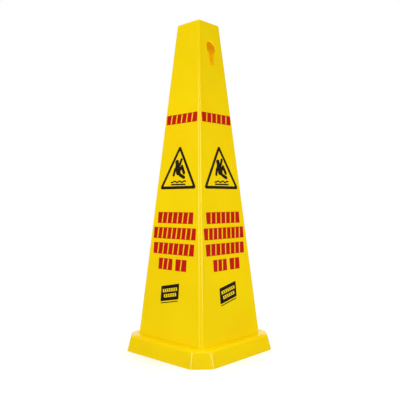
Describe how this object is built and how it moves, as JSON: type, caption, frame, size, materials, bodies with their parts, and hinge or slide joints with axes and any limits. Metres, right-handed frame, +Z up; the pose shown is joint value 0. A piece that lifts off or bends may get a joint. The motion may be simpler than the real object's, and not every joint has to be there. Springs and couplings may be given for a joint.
{
  "type": "wet floor sign",
  "caption": "Tall hollow four-sided floor warning cone on a flared base skirt, with chain keyholes near the top and film graphics on every face.",
  "frame": {"origin": "on the floor, under the cone's axis", "axes": "+Z up along the axis, -Y towards the front face, +X towards the right face, which has a keyhole"},
  "size_m": [0.324, 0.324, 0.915],
  "materials": {
    "yellow_plastic": "satin",
    "base_plastic": "satin",
    "red_film": "satin",
    "black_film": "satin",
    "dark_film": "satin",
    "yellow_film": "satin"
  },
  "bodies": {
    "root": {"base_skirt": "base_plastic", "cone_body": "yellow_plastic", "dark_plate_back": "dark_film", "dark_plate_front": "dark_film", "dark_plate_left": "dark_film", "dark_plate_right": "dark_film", "ground_line_back": "black_film", "ground_line_front": "black_film", "ground_line_left": "black_film", "ground_line_right": "black_film", "plate_bar_1_back": "yellow_film", "plate_bar_1_front": "yellow_film", "plate_bar_1_left": "yellow_film", "plate_bar_1_right": "yellow_film", "plate_bar_2_back": "yellow_film", "plate_bar_2_front": "yellow_film", "plate_bar_2_left": "yellow_film", "plate_bar_2_right": "yellow_film", "plate_line_back": "dark_film", "plate_line_front": "dark_film", "plate_line_left": "dark_film", "plate_line_right": "dark_film", "slip_figure_back": "black_film", "slip_figure_front": "black_film", "slip_figure_left": "black_film", "slip_figure_right": "black_film", "title_bar_back": "red_film", "title_bar_front": "red_film", "title_bar_left": "red_film", "title_bar_right": "red_film", "warning_triangle_back": "black_film", "warning_triangle_front": "black_film", "warning_triangle_left": "black_film", "warning_triangle_right": "black_film", "water_line_back": "black_film", "water_line_front": "black_film", "water_line_left": "black_film", "water_line_right": "black_film", "word_bar_1_back": "red_film", "word_bar_1_front": "red_film", "word_bar_1_left": "red_film", "word_bar_1_right": "red_film", "word_bar_2_back": "red_film", "word_bar_2_front": "red_film", "word_bar_2_left": "red_film", "word_bar_2_right": "red_film", "word_bar_3_back": "red_film", "word_bar_3_front": "red_film", "word_bar_3_left": "red_film", "word_bar_3_right": "red_film", "word_bar_4_back": "red_film", "word_bar_4_front": "red_film", "word_bar_4_left": "red_film", "word_bar_4_right": "red_film", "word_bar_5_back": "red_film", "word_bar_5_front": "red_film", "word_bar_5_left": "red_film", "word_bar_5_right": "red_film"}
  },
  "joints": []
}
